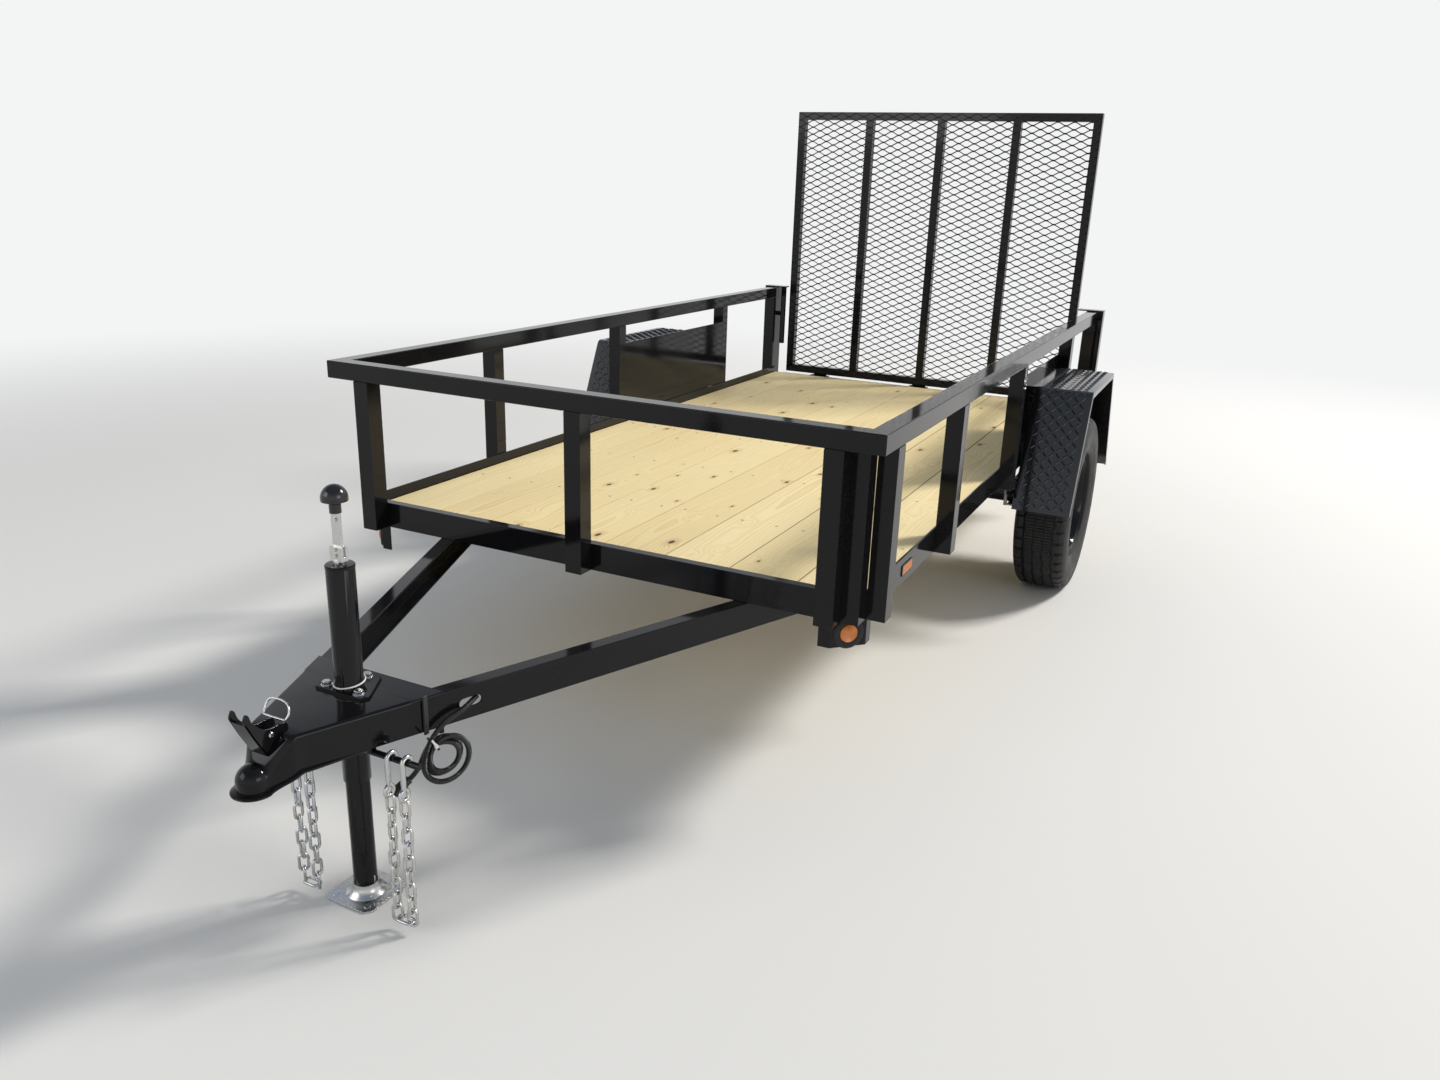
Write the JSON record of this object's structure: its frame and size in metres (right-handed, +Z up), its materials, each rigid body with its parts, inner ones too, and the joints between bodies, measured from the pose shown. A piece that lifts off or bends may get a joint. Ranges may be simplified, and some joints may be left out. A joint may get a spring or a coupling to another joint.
{
  "type": "utility trailer",
  "caption": "Single-axle open utility trailer with tube rail, plank deck, tread-plate fenders, mesh ramp gate and tube jack.",
  "frame": {"origin": "on the ground, at the middle of the trailer's length and width", "axes": "+Y from the coupler towards the ramp gate, +Z up, +X to the right seen from the coupler towards the gate"},
  "size_m": [2.114, 4.354, 1.868],
  "materials": {
    "gloss_black": "glossy black enamel",
    "tread_plate_black": "glossy black enamel over raised tread plate",
    "mesh_black": "glossy black enamel on expanded metal",
    "axle_black": "satin black paint",
    "spring_steel": "dull black spring steel",
    "deck_wood": "raw treated pine",
    "tyre_rubber": "satin rubber",
    "rim_black": "glossy black enamel",
    "hub_black": "black enamel",
    "zinc": "bright zinc plate",
    "zinc_dull": "dull zinc plate",
    "black_knob": "glossy black plastic",
    "amber_lens": "amber lens",
    "red_lens": "red lens",
    "loom_black": "ribbed split loom",
    "plug_black": "moulded flat plug"
  },
  "bodies": {
    "chassis": {"axle": "axle_black", "chain_bar": "gloss_black", "chain_hooks": "zinc", "corner_posts": "gloss_black", "coupler": "gloss_black", "coupler_latch": "gloss_black", "crossmembers": "gloss_black", "deck_boards": "deck_wood", "fender_ledges": "gloss_black", "fender_left": "tread_plate_black", "fender_panels": "gloss_black", "fender_right": "tread_plate_black", "frame_front": "gloss_black", "frame_rear": "gloss_black", "frame_sides": "gloss_black", "front_posts": "gloss_black", "gate_latch_bar": "gloss_black", "jack_crank": "zinc", "jack_knob": "black_knob", "jack_tube": "gloss_black", "leaf_springs": "spring_steel", "marker_brackets": "gloss_black", "marker_lamps": "amber_lens", "rear_posts": "gloss_black", "safety_chain_left": "zinc", "safety_chain_right": "zinc", "side_posts": "gloss_black", "spring_fittings": "zinc_dull", "tail_lamps": "red_lens", "tongue_channels": "gloss_black", "top_rail": "gloss_black", "wiring_coil": "loom_black", "wiring_lead": "loom_black", "wiring_plug": "plug_black", "wiring_tie": "plug_black"},
    "wheel_left": {"hub_left": "hub_black", "rim_left": "rim_black", "tyre_left": "tyre_rubber"},
    "wheel_right": {"hub_right": "hub_black", "rim_right": "rim_black", "tyre_right": "tyre_rubber"},
    "jack_leg": {"jack_foot": "zinc", "jack_leg": "gloss_black"},
    "ramp_gate": {"gate_frame": "gloss_black", "gate_hinges": "gloss_black", "gate_mesh_falling": "mesh_black", "gate_mesh_rising": "mesh_black"}
  },
  "joints": [
    {"name": "wheel_left_spin", "type": "hinge", "parent": "chassis", "child": "wheel_left", "pos_m": [-0.94, 0.988, 0.344], "axis": [1, 0, 0], "continuous": true},
    {"name": "wheel_right_spin", "type": "hinge", "parent": "chassis", "child": "wheel_right", "pos_m": [0.94, 0.988, 0.344], "axis": [1, 0, 0], "continuous": true},
    {"name": "jack_slide", "type": "slide", "parent": "chassis", "child": "jack_leg", "axis": [0, 0, 1], "range_m": [0, 0.2]},
    {"name": "gate_hinge", "type": "hinge", "parent": "chassis", "child": "ramp_gate", "pos_m": [0, 2.158, 0.52], "axis": [-1, 0, 0], "range_deg": [0, 111]}
  ]
}
